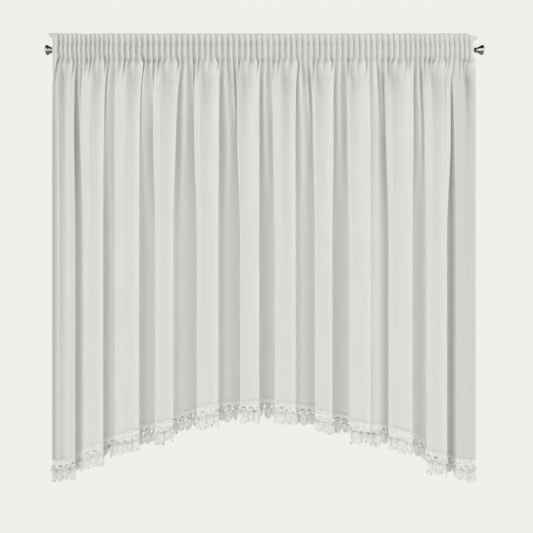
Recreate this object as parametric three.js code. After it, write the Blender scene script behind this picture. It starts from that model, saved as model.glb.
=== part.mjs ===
// Sheer curtain on a rod: a white voile panel with an arched hem, drawn up into close pleats on a round metal
// rod with flared ends, and edged along the hem with a strip of leaf lace.
// Millimetres, +Z up. The rod's axis runs along X through the origin, and the curtain's front faces -Y.
import * as THREE from "three";

// The cloth: its flat width, the thickness of one layer, and the clearance between neighbouring pieces.
const FLAT_WIDTH = 2500;
const CLOTH = 1.2;
const FIT_GAP = 0.3;

// Heights on the panel. The rod pocket lies between the two stitched rows, the frill above them.
const TOP_EDGE = 50;
const UPPER_STITCH = 26.5;
const LOWER_STITCH = -34.5;
const RIDGE_LEVEL = -345;
const FOLD_LEVEL = -760;

// The arched hem: level at the sides, rising to the centre by a power of the way in.
const HEM_SIDE = -1375;
const HEM_CENTRE = -1184;
const ARCH_POWER = 1.6;
const ARCH_REACH = 0.96;

// The rod and its ends.
const ROD_DIAMETER = 16;
const ROD_LENGTH = 1430;
const ROD_SIDES = 24;
const FINIAL_CONE = 25;
const FINIAL_CAP = 5;
const FINIAL_DIAMETER = 34;
// The cone stays this much wider than the rod half-way, and the cap's flat reaches this share of its radius.
const FINIAL_WAIST = 2;
const FINIAL_FLAT = 0.7;
const FINIAL_STEPS = 4;

// The pocket's half opening at the rod's axis: its slanting walls then clear the rod by FIT_GAP.
const POCKET_OPENING = 10.25;

// The heading's pleats from left to right, drawn closer near the two ends.
const HEADING_LEFT = -709.5;
const PLEAT_ZONES = [
  { pleats: 13, pitch: 15.2 },
  { pleats: 51, pitch: 19.3 },
  { pleats: 14, pitch: 16.5 },
];
// Where a pleat's flat ridge starts and ends, as shares of its pitch: it leans to the right.
const RIDGE_FROM = 0.5;
const RIDGE_TO = 0.8;
// The frill's two top corners: the left one flares outwards, the right one droops.
const LEFT_FLARE = 15;
const RIGHT_FLARE = 8;
const RIGHT_DROOP = 9;

// Just below the heading the pleats run together in pairs. The front of a pair is slack by this share of its
// width, which leaves a dip between its two pleats.
const PLEATS_IN_PAIR = 2;
const PAIR_FRONT_FROM = 0.28;
const PAIR_FRONT_TO = 0.73;
const PAIR_SLACK = 0.6;
// On the way down from the heading: how far the pairs and the main folds have come at each level.
const GATHERS = [
  { level: -66, pairs: 0.5, folds: 0.25 },
  { level: -108, pairs: 1, folds: 0.6 },
];

// The main folds from left to right: the edges of each front, how far its left edge is set back and its
// middle stands out, then the soft ridge in the valley on its right: where it is, how high it stands where
// the pleats have just run out, and how high it still stands at the hem.
const FOLDS = [
  { left: -707, right: -630, setBack: 16, crown: 4, ridgeAt: -619, ridgeHigh: 0, ridgeLow: 0 },
  { left: -608, right: -537, setBack: 5, crown: 5, ridgeAt: -519, ridgeHigh: 5, ridgeLow: 4 },
  { left: -501, right: -417, setBack: 4, crown: 6, ridgeAt: -392, ridgeHigh: 16, ridgeLow: 4 },
  { left: -366, right: -304, setBack: 3, crown: 4, ridgeAt: -272, ridgeHigh: 24, ridgeLow: 9 },
  { left: -227, right: -153, setBack: 4, crown: 5, ridgeAt: -124, ridgeHigh: 22, ridgeLow: 8 },
  { left: -82, right: -17, setBack: 4, crown: 4, ridgeAt: 6, ridgeHigh: 17, ridgeLow: 3 },
  { left: 34, right: 105, setBack: 4, crown: 5, ridgeAt: 129, ridgeHigh: 22, ridgeLow: 9 },
  { left: 169, right: 227, setBack: 3, crown: 4, ridgeAt: 252, ridgeHigh: 14, ridgeLow: 3 },
  { left: 284, right: 354, setBack: 4, crown: 5, ridgeAt: 375, ridgeHigh: 40, ridgeLow: 40 },
  { left: 415, right: 494, setBack: 4, crown: 6, ridgeAt: 521, ridgeHigh: 16, ridgeLow: 4 },
  { left: 541, right: 609, setBack: 4, crown: 5, ridgeAt: 626, ridgeHigh: 4, ridgeLow: 2 },
  { left: 640, right: 707, setBack: 5, crown: 4 },
];
const FOLD_FRONT = -33;
const FOLD_TUCK = 3;
// A fold's corner is rounded over this distance, or over a share of the runs beside it where they are short,
// and its rounding saves a share of that distance in cloth.
const FOLD_ROUNDING = 11;
const ROUNDING_OF_RUN = 0.45;
const CLOTH_SAVED = 0.75;

// The lace: leaves of three lengths hang from a band. A tile of it runs from the middle of one leaf to the
// middle of the next, with a pointed opening above the notch between them.
const LACE_TILES = 90;
const LEAF_LENGTHS = [68, 74, 72];
const LEAF_NOTCH = 45;
const LEAF_EDGE = [
  { across: 0, along: 1 },
  { across: 0.25, along: 0.92 },
  { across: 0.41, along: 0.7 },
];
const LACE_OPENING = [
  { across: 0.5, down: 25 },
  { across: 0.39, down: 30 },
  { across: 0.39, down: 34 },
  { across: 0.5, down: 39 },
  { across: 0.61, down: 34 },
  { across: 0.61, down: 30 },
];

const voile = new THREE.MeshStandardMaterial({ color: 0xe3e3e0, roughness: 0.9, metalness: 0 });
const lace = new THREE.MeshStandardMaterial({ color: 0xeeeeec, roughness: 0.9, metalness: 0 });
const nickel = new THREE.MeshStandardMaterial({ color: 0x8e8d88, roughness: 0.2, metalness: 1 });

const mix = (a, b, share) => a + (b - a) * share;

// The heading's pleats in order, each with its left edge and its pitch.
const pleats = [];
for (const zone of PLEAT_ZONES)
  for (let i = 0; i < zone.pleats; i++) {
    const before = pleats.at(-1);
    pleats.push({ left: before ? before.left + before.pitch : HEADING_LEFT, pitch: zone.pitch });
  }
const PLEAT_CLOTH = FLAT_WIDTH / pleats.length;
const HEADING_RIGHT = pleats.at(-1).left + pleats.at(-1).pitch;

// The length of cloth that the heading takes up to the left of a place along the rod.
function clothLeftOf(x) {
  const i = pleats.findIndex((pleat) => x < pleat.left + pleat.pitch);
  if (i < 0) return FLAT_WIDTH;
  return PLEAT_CLOTH * (i + Math.max(0, (x - pleats[i].left) / pleats[i].pitch));
}

// A level section of the sheet is a row of points with the cloth's own distance u from its left edge. This
// adds to each point its normal towards the front, lengthened at corners to keep the sheet's thickness.
const SHARPEST_CORNER = 0.4;
function withNormals(points) {
  const way = (a, b) => new THREE.Vector2(b.x - a.x, b.y - a.y).normalize();
  return points.map((point, i) => {
    const before = i ? way(points[i - 1], point) : way(point, points[i + 1]);
    const after = i < points.length - 1 ? way(point, points[i + 1]) : before;
    const along = before.clone().add(after).normalize();
    const reach = 1 / Math.max(along.dot(after), SHARPEST_CORNER);
    return { ...point, nx: along.y * reach, ny: -along.x * reach };
  });
}

// The section's point and normal at the cloth's distance u.
function sectionAt(section, u) {
  let i = section.findIndex((point) => point.u >= u);
  if (i < 0) i = section.length - 1;
  const b = section[i];
  const a = section[Math.max(i - 1, 0)];
  const share = b.u > a.u ? (u - a.u) / (b.u - a.u) : 0;
  const between = { u };
  for (const key of ["x", "y", "nx", "ny"]) between[key] = mix(a[key], b[key], share);
  return between;
}

// A wave of trough and ridge for each cell of the heading, as deep as the cloth in the cell makes it. A slack
// ridge dips in its middle.
function waveSection(cells, cloth, ridgeFrom, ridgeTo, slack) {
  const points = [];
  cells.forEach((cell, i) => {
    const ridge = (ridgeTo - ridgeFrom) * cell.pitch;
    const across = ridge * (1 + slack);
    const side = (cloth - across) / 2;
    const depth = Math.sqrt(side ** 2 - ((cell.pitch - ridge) / 2) ** 2);
    const dip = Math.sqrt(across ** 2 - ridge ** 2) / 2;
    const u = cloth * i;
    const left = cell.left + ridgeFrom * cell.pitch;
    points.push({ u, x: cell.left, y: depth / 2 });
    points.push({ u: u + side, x: left, y: -depth / 2 });
    if (dip > 0) points.push({ u: u + side + across / 2, x: left + ridge / 2, y: dip - depth / 2 });
    points.push({ u: u + side + across, x: left + ridge, y: -depth / 2 });
  });
  const last = cells.at(-1);
  points.push({ u: FLAT_WIDTH, x: last.left + last.pitch, y: points[0].y });
  return points;
}

// The main folds' section, a row of rounded corners: for each fold its left edge, crown and right edge, then
// the valley's left foot, ridge and right foot. The cloth left over from fronts and valleys makes the depth.
// The two edges of a front are rounded in EDGE_STEPS straight steps, the other corners in one.
const EDGE_STEPS = 2;
function foldSection(ridgeHeight) {
  const depthFor = (cloth, span) => (cloth - span) / 2 + CLOTH_SAVED * FOLD_ROUNDING;
  const middle = (fold) => (fold.left + fold.right) / 2;
  const first = FOLDS[0];
  const last = FOLDS.at(-1);
  const startDepth = clothLeftOf(middle(first)) - (middle(first) - first.left);
  const endDepth = FLAT_WIDTH - clothLeftOf(middle(last)) - (last.right - middle(last));
  const corners = [{ x: first.left + 2 * FOLD_TUCK, y: FOLD_FRONT + startDepth }];
  FOLDS.forEach((fold, i) => {
    corners.push({ x: fold.left, y: FOLD_FRONT + fold.setBack, steps: EDGE_STEPS });
    corners.push({ x: middle(fold), y: FOLD_FRONT - fold.crown });
    corners.push({ x: fold.right, y: FOLD_FRONT, steps: EDGE_STEPS });
    if (fold === last) return;
    const next = FOLDS[i + 1];
    const cloth = clothLeftOf(middle(next)) - clothLeftOf(middle(fold));
    const floor = FOLD_FRONT + depthFor(cloth, middle(next) - middle(fold));
    corners.push({ x: fold.right - FOLD_TUCK, y: floor });
    corners.push({ x: fold.ridgeAt, y: floor - ridgeHeight(fold) });
    corners.push({ x: next.left + FOLD_TUCK, y: floor });
  });
  corners.push({ x: last.right - 2 * FOLD_TUCK, y: FOLD_FRONT + endDepth });
  return rounded(corners);
}

// The corners joined by straight runs, each corner rounded by a quadratic curve.
function rounded(corners) {
  const places = corners.map((corner) => new THREE.Vector2(corner.x, corner.y));
  const line = [places[0]];
  for (let i = 1; i < corners.length - 1; i++) {
    const back = places[i - 1].clone().sub(places[i]);
    const on = places[i + 1].clone().sub(places[i]);
    const shorter = Math.min(back.length(), on.length());
    const radius = Math.min(FOLD_ROUNDING, ROUNDING_OF_RUN * shorter);
    const from = places[i].clone().addScaledVector(back.normalize(), radius);
    const to = places[i].clone().addScaledVector(on.normalize(), radius);
    const curve = new THREE.QuadraticBezierCurve(from, places[i], to);
    line.push(...curve.getPoints(corners[i].steps ?? 1));
  }
  line.push(places.at(-1));
  const lengths = [0];
  for (let i = 1; i < line.length; i++) lengths.push(lengths[i - 1] + line[i].distanceTo(line[i - 1]));
  return line.map((p, i) => ({ u: (FLAT_WIDTH * lengths[i]) / lengths.at(-1), x: p.x, y: p.y }));
}

// The hem's height at the cloth's distance u.
function hemHeight(u) {
  const out = Math.min(1, Math.abs(u / FLAT_WIDTH - 0.5) / (0.5 * ARCH_REACH));
  return mix(HEM_CENTRE, HEM_SIDE, out ** ARCH_POWER);
}

// Points of two sections that are closer than this along the cloth count as one.
const LEAST_STEP = 4;

// A mesh being put together: its points, and its triangles by number.
class Surface {
  positions = [];
  triangles = [];

  add(x, y, z) {
    this.positions.push(x, y, z);
    return this.positions.length / 3 - 1;
  }

  // The points of a section at a height, moved along their normals towards the front by reach.
  addRow(section, height, reach) {
    const ids = section.map((p) => this.add(p.x + reach * p.nx, p.y + reach * p.ny, height(p.u)));
    return { u: section.map((p) => p.u), ids };
  }

  apart(a, b) {
    const place = (id) => new THREE.Vector3().fromArray(this.positions, 3 * id);
    return place(a).distanceTo(place(b));
  }

  // The strip between an upper and a lower row, which may have different points, facing front or back. Where
  // the two rows' next points match, the four points are parted along their shorter diagonal.
  zip(upper, lower, faceFront) {
    let i = 0;
    let j = 0;
    const lastUpper = upper.ids.length - 1;
    const lastLower = lower.ids.length - 1;
    while (i < lastUpper || j < lastLower) {
      let alongUpper = j === lastLower || (i < lastUpper && upper.u[i + 1] <= lower.u[j + 1]);
      if (i < lastUpper && j < lastLower && Math.abs(upper.u[i + 1] - lower.u[j + 1]) <= LEAST_STEP) {
        const [a, b] = [upper.ids, lower.ids];
        alongUpper = this.apart(a[i + 1], b[j]) < this.apart(a[i], b[j + 1]);
      }
      const next = alongUpper ? upper.ids[i + 1] : lower.ids[j + 1];
      if (faceFront) this.triangles.push(upper.ids[i], lower.ids[j], next);
      else this.triangles.push(upper.ids[i], next, lower.ids[j]);
      if (alongUpper) i++;
      else j++;
    }
  }

  // A flat face given by its corners in order, fanned from the first.
  face(...ids) {
    for (let i = 2; i < ids.length; i++) this.triangles.push(ids[0], ids[i - 1], ids[i]);
  }

  mesh(name, material) {
    const geometry = new THREE.BufferGeometry();
    geometry.setAttribute("position", new THREE.Float32BufferAttribute(this.positions, 3));
    geometry.setIndex(this.triangles);
    geometry.computeVertexNormals();
    const made = new THREE.Mesh(geometry, material);
    made.name = name;
    return made;
  }
}

const pleatSection = withNormals(waveSection(pleats, PLEAT_CLOTH, RIDGE_FROM, RIDGE_TO, 0));
const hemSection = withNormals(foldSection((fold) => fold.ridgeLow));
// The same cloth higher up, where the valleys' ridges stand: each point keeps its distance along the cloth.
const ridgeSection = withNormals(
  foldSection((fold) => fold.ridgeHigh).map((point, i) => ({ ...point, u: hemSection[i].u })),
);

// The pleats run together in pairs.
function pairSection() {
  const cells = [];
  for (let i = 0; i < pleats.length; i += PLEATS_IN_PAIR) {
    const end = pleats[i + PLEATS_IN_PAIR]?.left ?? HEADING_RIGHT;
    cells.push({ left: pleats[i].left, pitch: end - pleats[i].left });
  }
  const cloth = PLEAT_CLOTH * PLEATS_IN_PAIR;
  return withNormals(waveSection(cells, cloth, PAIR_FRONT_FROM, PAIR_FRONT_TO, PAIR_SLACK));
}

// The points at which pleats and folds meet: all those of the folds, and those of the pleats clear of them.
function meetingPoints() {
  const folds = hemSection.map((point) => point.u);
  const clear = (u) => folds.every((fold) => Math.abs(fold - u) > LEAST_STEP);
  const between = pleatSection.map((point) => point.u).filter(clear);
  return [...folds, ...between].sort((a, b) => a - b);
}

// The section at one of the gathers, where pleats turn to pairs and pairs to folds.
const meeting = meetingPoints();
const pairs = pairSection();
function gatherSection(gather) {
  const points = meeting.map((u) => {
    const pleat = sectionAt(pleatSection, u);
    const pair = sectionAt(pairs, u);
    const fold = sectionAt(ridgeSection, u);
    const part = (key) => mix(mix(pleat[key], pair[key], gather.pairs), fold[key], gather.folds);
    return { u, x: part("x"), y: part("y") };
  });
  return withNormals(points);
}

// The frill's top edge, with its left corner flaring out and its right corner drooping.
function topEdgeSection() {
  return pleatSection.map((point) => {
    const left = Math.max(0, 1 - point.u / PLEAT_CLOTH);
    const right = Math.max(0, 1 - (FLAT_WIDTH - point.u) / PLEAT_CLOTH);
    return { ...point, x: point.x - LEFT_FLARE * left ** 2 + RIGHT_FLARE * right ** 2 };
  });
}
function topEdgeHeight(u) {
  return TOP_EDGE - RIGHT_DROOP * Math.max(0, 1 - (FLAT_WIDTH - u) / PLEAT_CLOTH);
}

// The panel, from the frill down to the hem: two layers thick in the frill and at the stitched rows, parted
// round the rod between them, and one layer below.
function makePanel() {
  const s = new Surface();
  const level = (z) => () => z;
  const sheet = (section, height, reach) => ({
    front: s.addRow(section, height, reach),
    back: s.addRow(section, height, -reach),
  });
  const stitched = (z) => ({
    ...sheet(pleatSection, level(z), CLOTH),
    seam: s.addRow(pleatSection, level(z), 0),
  });
  // One wall of the pocket at the rod's axis, moved out until its inner side is POCKET_OPENING away.
  const wall = (side) => {
    const inner = pleatSection.map((p) => side * (p.y + (side * CLOTH * p.ny) / 2));
    const out = side * (POCKET_OPENING - Math.min(...inner));
    const moved = pleatSection.map((p) => ({ ...p, y: p.y + out }));
    return sheet(moved, level(0), CLOTH / 2);
  };

  const top = sheet(topEdgeSection(), topEdgeHeight, CLOTH);
  const upper = stitched(UPPER_STITCH);
  const frontWall = wall(-1);
  const backWall = wall(1);
  const lower = stitched(LOWER_STITCH);
  const upperFolds = meeting.map((u) => sectionAt(ridgeSection, u));
  const hanging = [
    ...GATHERS.map((gather) => sheet(gatherSection(gather), level(gather.level), CLOTH / 2)),
    sheet(upperFolds, level(RIDGE_LEVEL), CLOTH / 2),
    sheet(hemSection, level(FOLD_LEVEL), CLOTH / 2),
    sheet(hemSection, hemHeight, CLOTH / 2),
  ];

  const fronts = [top.front, upper.front, frontWall.front, lower.front, ...hanging.map((row) => row.front)];
  const backs = [top.back, upper.back, backWall.back, lower.back, ...hanging.map((row) => row.back)];
  for (let i = 1; i < fronts.length; i++) {
    s.zip(fronts[i - 1], fronts[i], true);
    s.zip(backs[i - 1], backs[i], false);
  }
  // The inside of the pocket.
  s.zip(upper.seam, frontWall.back, false);
  s.zip(frontWall.back, lower.seam, false);
  s.zip(upper.seam, backWall.front, true);
  s.zip(backWall.front, lower.seam, true);
  // The top and hem edges.
  const hem = hanging.at(-1);
  s.zip(top.back, top.front, true);
  s.zip(hem.front, hem.back, true);
  // The two side edges, each a row of faces from the frill's down to the hem's.
  for (const leftSide of [true, false]) {
    const end = (row) => row.ids.at(leftSide ? 0 : -1);
    const side = (...ids) => s.face(...(leftSide ? ids : ids.reverse()));
    const edge = (row) => [end(row.front), end(row.back)];
    const [topFront, topBack] = edge(top);
    side(end(upper.seam), end(upper.front), topFront, topBack, end(upper.back));
    side(end(upper.front), end(upper.seam), end(frontWall.back), end(frontWall.front));
    side(end(upper.seam), end(upper.back), end(backWall.back), end(backWall.front));
    side(end(frontWall.front), end(frontWall.back), end(lower.seam), end(lower.front));
    side(end(backWall.front), end(backWall.back), end(lower.back), end(lower.seam));
    const [gatherFront, gatherBack] = edge(hanging[0]);
    side(end(lower.seam), end(lower.back), gatherBack, gatherFront, end(lower.front));
    for (let i = 1; i < hanging.length; i++) {
      const [upFront, upBack] = edge(hanging[i - 1]);
      const [downFront, downBack] = edge(hanging[i]);
      side(upFront, upBack, downBack, downFront);
    }
  }
  return s.mesh("panel", voile);
}

// The lace edging: tiles laid side by side along the hem's folds, each cut through at its opening.
function makeLace() {
  const s = new Surface();
  const tile = FLAT_WIDTH / LACE_TILES;
  const leafEdge = (leaf) => {
    const length = LEAF_LENGTHS[leaf % LEAF_LENGTHS.length];
    return LEAF_EDGE.map((p) => ({ across: p.across, down: mix(LEAF_NOTCH, length, p.along) }));
  };
  const mirrored = (p) => ({ across: 1 - p.across, down: p.down });
  for (let leaf = 0; leaf < LACE_TILES; leaf++) {
    const outline = [
      { across: 0, down: 0 },
      ...leafEdge(leaf),
      { across: 0.5, down: LEAF_NOTCH },
      ...leafEdge(leaf + 1).reverse().map(mirrored),
      { across: 1, down: 0 },
      { across: 0.5, down: 0 },
    ];
    const flat = (points) => points.map((p) => new THREE.Vector2(p.across * tile, -p.down));
    const opening = [...LACE_OPENING].reverse();
    const faces = THREE.ShapeUtils.triangulateShape(flat(outline), [flat(opening)]);
    const place = (reach) =>
      [...outline, ...opening].map((p) => {
        const u = (leaf + p.across) * tile;
        const at = sectionAt(hemSection, u);
        return s.add(at.x + reach * at.nx, at.y + reach * at.ny, hemHeight(u) - FIT_GAP - p.down);
      });
    const front = place(CLOTH / 2);
    const back = place(-CLOTH / 2);
    for (const [a, b, c] of faces) {
      s.face(front[a], front[b], front[c]);
      s.face(back[a], back[c], back[b]);
    }
    const wall = (from, to) => s.face(front[from], back[from], back[to], front[to]);
    const count = outline.length;
    for (let i = 0; i < count; i++) {
      const from = outline[i];
      const to = outline[(i + 1) % count];
      const seam = from.across === to.across;
      const outer = (leaf === 0 && to.across === 0) || (leaf === LACE_TILES - 1 && to.across === 1);
      if (!seam || outer) wall(i, (i + 1) % count);
    }
    opening.forEach((_, i) => wall(count + i, count + ((i + 1) % opening.length)));
  }
  return s.mesh("lace_edging", lace);
}

function makeRod() {
  const rod = new THREE.Mesh(
    new THREE.CylinderGeometry(ROD_DIAMETER / 2, ROD_DIAMETER / 2, ROD_LENGTH, ROD_SIDES),
    nickel,
  );
  rod.name = "rod";
  rod.rotation.z = Math.PI / 2;
  return rod;
}

// A finial turned about its axis: a cone that flares from the rod's diameter, closed by a slightly domed cap.
function makeFinial(name, side) {
  const wide = FINIAL_DIAMETER / 2;
  const profile = [new THREE.Vector2(0, 0), new THREE.Vector2(ROD_DIAMETER / 2, 0)];
  const flare = new THREE.QuadraticBezierCurve(
    new THREE.Vector2(ROD_DIAMETER / 2, 0),
    new THREE.Vector2(ROD_DIAMETER / 2 + FINIAL_WAIST, FINIAL_CONE / 2),
    new THREE.Vector2(wide, FINIAL_CONE),
  );
  const cap = new THREE.QuadraticBezierCurve(
    new THREE.Vector2(wide, FINIAL_CONE),
    new THREE.Vector2(FINIAL_FLAT * wide, FINIAL_CONE + FINIAL_CAP),
    new THREE.Vector2(0, FINIAL_CONE + FINIAL_CAP),
  );
  profile.push(...flare.getPoints(FINIAL_STEPS).slice(1), ...cap.getPoints(FINIAL_STEPS).slice(1));
  const finial = new THREE.Mesh(new THREE.LatheGeometry(profile, ROD_SIDES), nickel);
  finial.name = name;
  finial.rotation.z = (-side * Math.PI) / 2;
  finial.position.x = side * (ROD_LENGTH / 2 + FIT_GAP);
  return finial;
}

const curtain = new THREE.Group();
curtain.add(makePanel());
curtain.add(makeLace());
curtain.add(makeRod());
curtain.add(makeFinial("finial_left", -1));
curtain.add(makeFinial("finial_right", 1));

export default curtain;
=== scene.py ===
import bpy
import numpy as np
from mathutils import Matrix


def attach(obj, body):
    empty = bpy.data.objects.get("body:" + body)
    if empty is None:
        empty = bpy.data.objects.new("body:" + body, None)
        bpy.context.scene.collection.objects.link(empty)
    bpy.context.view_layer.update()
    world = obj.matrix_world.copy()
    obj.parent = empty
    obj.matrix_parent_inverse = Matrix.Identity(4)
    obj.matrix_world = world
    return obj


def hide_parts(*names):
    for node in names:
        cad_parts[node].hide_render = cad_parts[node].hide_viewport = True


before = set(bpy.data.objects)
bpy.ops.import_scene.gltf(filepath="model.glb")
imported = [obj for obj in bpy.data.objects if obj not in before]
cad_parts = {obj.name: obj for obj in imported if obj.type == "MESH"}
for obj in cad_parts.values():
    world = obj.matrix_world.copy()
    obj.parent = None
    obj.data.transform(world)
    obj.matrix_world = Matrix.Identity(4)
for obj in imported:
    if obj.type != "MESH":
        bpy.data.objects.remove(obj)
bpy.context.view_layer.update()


# The rod: a drawn steel tube, plated in dark nickel and polished. It runs through the curtain's pocket, and
# its two ends are capped by finials.
MM = 0.001
ROD_RADIUS = 8.0
ROD_END_RADIUS = 6.8
ROD_HALF_LENGTH = 715.0
ROD_SIDES = 64
ROD_RINGS = 12
NICKEL_COLOUR = (0.36, 0.358, 0.35, 1.0)
NICKEL_DARKER = (0.28, 0.278, 0.27, 1.0)
NICKEL_GLOSSY = 0.1
NICKEL_RUBBED = 0.26
SMEAR_SCALE = 60.0


def grid_faces(rows, columns, closed=False):
    """Quads of a grid whose points run row by row. A closed grid joins its last column to its first."""
    starts = columns if closed else columns - 1
    row, column = np.meshgrid(np.arange(rows - 1), np.arange(starts), indexing="ij")
    beside = (column + 1) % columns
    here, there = row * columns, (row + 1) * columns
    corners = [here + column, here + beside, there + beside, there + column]
    return np.stack(corners, axis=-1).reshape(-1, 4)


def new_object(name, data):
    """An object of that name in the scene, at the origin."""
    made = bpy.data.objects.new(name, data)
    bpy.context.scene.collection.objects.link(made)
    return made


def new_piece(name, points, faces, material, cloth=None, shade_and_tone=None):
    """A mesh piece from points in millimetres and quads. cloth gives each point's place on the flat cloth in
    metres, kept as the UV map that weaves follow. The last argument gives how far each point takes the
    cloth's second colour: painted shade, and on the lace's tape also a darker tone of its own."""
    points = np.asarray(points, dtype=np.float64).reshape(-1, 3) * MM
    faces = np.asarray(faces, dtype=np.int32)
    mesh = bpy.data.meshes.new(name)
    mesh.vertices.add(len(points))
    mesh.vertices.foreach_set("co", points.astype(np.float32).ravel())
    mesh.loops.add(faces.size)
    mesh.loops.foreach_set("vertex_index", faces.ravel())
    mesh.polygons.add(len(faces))
    mesh.polygons.foreach_set("loop_start", np.arange(0, faces.size, 4, dtype=np.int32))
    mesh.polygons.foreach_set("use_smooth", np.ones(len(faces), dtype=bool))
    mesh.update(calc_edges=True)
    if cloth is not None:
        places = np.asarray(cloth, dtype=np.float32).reshape(-1, 2)[faces.ravel()]
        mesh.uv_layers.new(name="cloth").data.foreach_set("uv", places.ravel())
    if shade_and_tone is not None:
        marks = np.asarray(shade_and_tone, dtype=np.float32).ravel()
        mesh.attributes.new("shade_and_tone", "FLOAT", "POINT").data.foreach_set("value", marks)
    mesh.validate()
    mesh.materials.append(material)
    piece = new_object(name, mesh)
    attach(piece, "root")
    return piece


def turned(along, radius, side, sides=ROD_SIDES):
    """A surface of revolution about the rod's axis: each pair of along and radius is a ring."""
    angle = np.linspace(0, 2 * np.pi, sides, endpoint=False)
    along, radius = np.asarray(along), np.asarray(radius)
    x = np.repeat(side * along[:, None], sides, axis=1)
    y = radius[:, None] * np.cos(side * angle)
    z = radius[:, None] * np.sin(side * angle)
    return np.stack([x, y, z], axis=-1), grid_faces(len(along), sides, closed=True)


def new_material(name):
    """An empty node material, with its nodes and its output node."""
    material = bpy.data.materials.new(name)
    material.use_nodes = True
    nodes = material.node_tree.nodes
    nodes.clear()
    return material, nodes, nodes.new("ShaderNodeOutputMaterial")


def set_values(node, values):
    """Sets constants on a node's own sockets, by the sockets' names."""
    for name, value in values.items():
        node.inputs[name].default_value = value


def wire(*wires):
    """Joins nodes: each wire is a node and its output, then a node and its input."""
    for source, leaving, target, entering in wires:
        target.id_data.links.new(source.outputs[leaving], target.inputs[entering])


nickel, nodes, output = new_material("polished_nickel")
metal = nodes.new("ShaderNodeBsdfPrincipled")
metal.inputs["Metallic"].default_value = 1.0
place = nodes.new("ShaderNodeTexCoord")
smear = nodes.new("ShaderNodeTexNoise")
set_values(smear, {"Scale": SMEAR_SCALE, "Detail": 4.0})
rub = nodes.new("ShaderNodeMapRange")
set_values(rub, {"To Min": NICKEL_GLOSSY, "To Max": NICKEL_RUBBED})
tone = nodes.new("ShaderNodeMix")
tone.data_type = "RGBA"
set_values(tone, {"A": NICKEL_DARKER, "B": NICKEL_COLOUR})
wire(
    (place, "Object", smear, "Vector"), (smear, "Fac", rub, "Value"),
    (smear, "Fac", tone, "Factor"), (rub, "Result", metal, "Roughness"),
    (tone, "Result", metal, "Base Color"), (metal, "BSDF", output, "Surface"),
)

tube_along = np.linspace(-ROD_HALF_LENGTH, ROD_HALF_LENGTH, ROD_RINGS)
tube_along = np.concatenate([tube_along[:1], tube_along, tube_along[-1:]])
tube_radius = np.full(len(tube_along), ROD_RADIUS)
tube_radius[[0, -1]] = ROD_END_RADIUS
points, faces = turned(tube_along, tube_radius, 1)
rod = new_piece("curtain_rod", points, faces, nickel)
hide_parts("rod")


# The finials: pressed caps of the same metal, pushed on the rod's ends. Each has a short collar, flares out
# like a trumpet to a rolled rim, and is closed by a slightly domed face.
FINIAL_FROM = 715.3
FINIAL_CONE = 22.6
FINIAL_CAP = 4.5
FINIAL_RADIUS = 17.0
COLLAR_LENGTH = 3.0
COLLAR_RADIUS = 8.8
COLLAR_BEVEL = 0.4
COLLAR_FOOT = 0.3
FLARE_FROM = COLLAR_RADIUS - 0.5
FLARE_POWER = 1.35
RIM_ROUNDING = 3.2
RIM_INSET = 0.11 * RIM_ROUNDING
RIM_SET_BACK = 0.2
DOME_POWER = 2.4
POLE_RADIUS = 0.05

flare = np.linspace(0, 1, 18)
flare_along = COLLAR_LENGTH + (FINIAL_CONE - COLLAR_LENGTH - RIM_ROUNDING) * flare
flare_radius = FLARE_FROM + (FINIAL_RADIUS - RIM_INSET - FLARE_FROM) * flare**FLARE_POWER
turn = np.linspace(-0.15 * np.pi, 0.45 * np.pi, 10)
rim_along = FINIAL_CONE - RIM_ROUNDING * RIM_SET_BACK + RIM_ROUNDING * np.sin(turn)
rim_radius = FINIAL_RADIUS - RIM_ROUNDING + RIM_ROUNDING * np.cos(turn)
dome = np.linspace(0.96, 0.0, 14)
dome_along = rim_along[-1] + (FINIAL_CONE + FINIAL_CAP - rim_along[-1]) * (1 - dome**DOME_POWER)
dome_radius = np.maximum(rim_radius[-1] * dome, POLE_RADIUS)
collar_along = [0, 0, COLLAR_BEVEL, COLLAR_LENGTH - COLLAR_FOOT, COLLAR_LENGTH]
collar_radius = [POLE_RADIUS, COLLAR_RADIUS - COLLAR_BEVEL, COLLAR_RADIUS, COLLAR_RADIUS, FLARE_FROM]
profile_along = np.concatenate([collar_along, flare_along, rim_along, dome_along])
profile_radius = np.concatenate([collar_radius, flare_radius, rim_radius, dome_radius])
for name, side in (("finial_left", -1), ("finial_right", 1)):
    points, faces = turned(FINIAL_FROM + profile_along, profile_radius, side)
    finial = new_piece(f"turned_{name}", points, faces, nickel)
    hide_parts(name)


# The panel: one width of white polyester voile. Its head is turned over to the back and stitched twice, so
# that the same cloth makes a frill, a pocket for the rod and the hanging curtain. Drawn up on the rod it lies
# in close pleats, which run together below the pocket and open into twelve main folds.
FLAT_WIDTH = 2500.0
TOP_EDGE = 52.0
UPPER_STITCH = 26.5
LOWER_STITCH = -34.5
HEAD_MARGIN = 6.0
RIDGE_LEVEL = -270.0
FOLD_LEVEL = -640.0
HEM_SIDE = -1375.0
HEM_CENTRE = -1184.0
ARCH_POWER = 1.6
ARCH_REACH = 0.96
# How far the hem hangs above an even arch, in millimetres, by the share of the cloth from the left.
HEM_PLACES = [0, 0.05, 0.1, 0.18, 0.26, 0.31, 0.37, 0.45, 0.56, 0.63, 0.73, 0.78, 0.84, 0.87, 0.93, 0.97, 1]
HEM_UNEVEN = [-14, -13, -6, 0, -7, 5, 11, 1, 0, -9, -13, -2, -2, -34, -32, -9, -8]
HEADING_LEFT = -711.5
# How many pleats of what pitch, from the left.
PLEAT_ZONES = [(13, 15.3), (51, 19.3), (14, 16.5)]
POCKET_CLEARANCE = 10.3
POCKET_PLEATS = 0.6
LAYER_GAP = 1.0
HEAD_FRONT = -17.0
PLEAT_DEPTH = 12.0
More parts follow.
